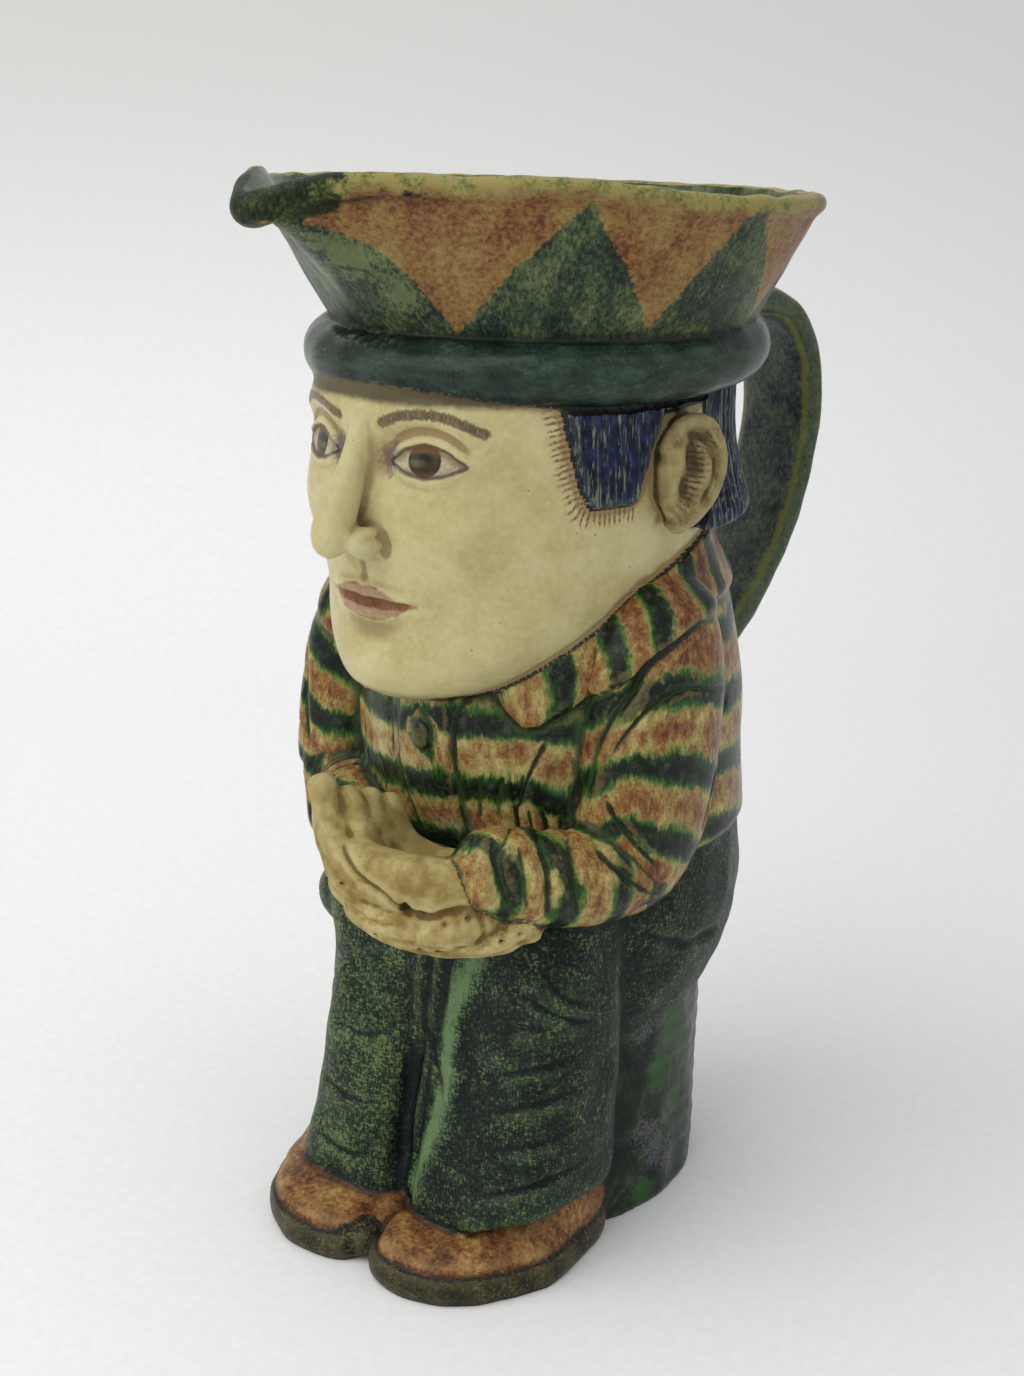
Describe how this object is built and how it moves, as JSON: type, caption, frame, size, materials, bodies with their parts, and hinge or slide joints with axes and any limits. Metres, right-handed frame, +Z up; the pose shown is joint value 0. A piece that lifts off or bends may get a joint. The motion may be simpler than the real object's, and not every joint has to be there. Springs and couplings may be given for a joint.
{
  "type": "character jug",
  "caption": "Ceramic pouring jug in the form of a standing figure with cupped hands; its flared hat is the mouth with a spout, and a strap handle rises at the back.",
  "frame": {"origin": "on the flat underside, on the upright axis of the thrown body", "axes": "+Z up to the hat's rim; the figure faces -Y, and its left hand is at +X"},
  "size_m": [0.1655, 0.2296, 0.3228],
  "materials": {
    "glazed_clay": "gloss"
  },
  "bodies": {
    "root": {"character_jug": "glazed_clay"}
  },
  "joints": []
}
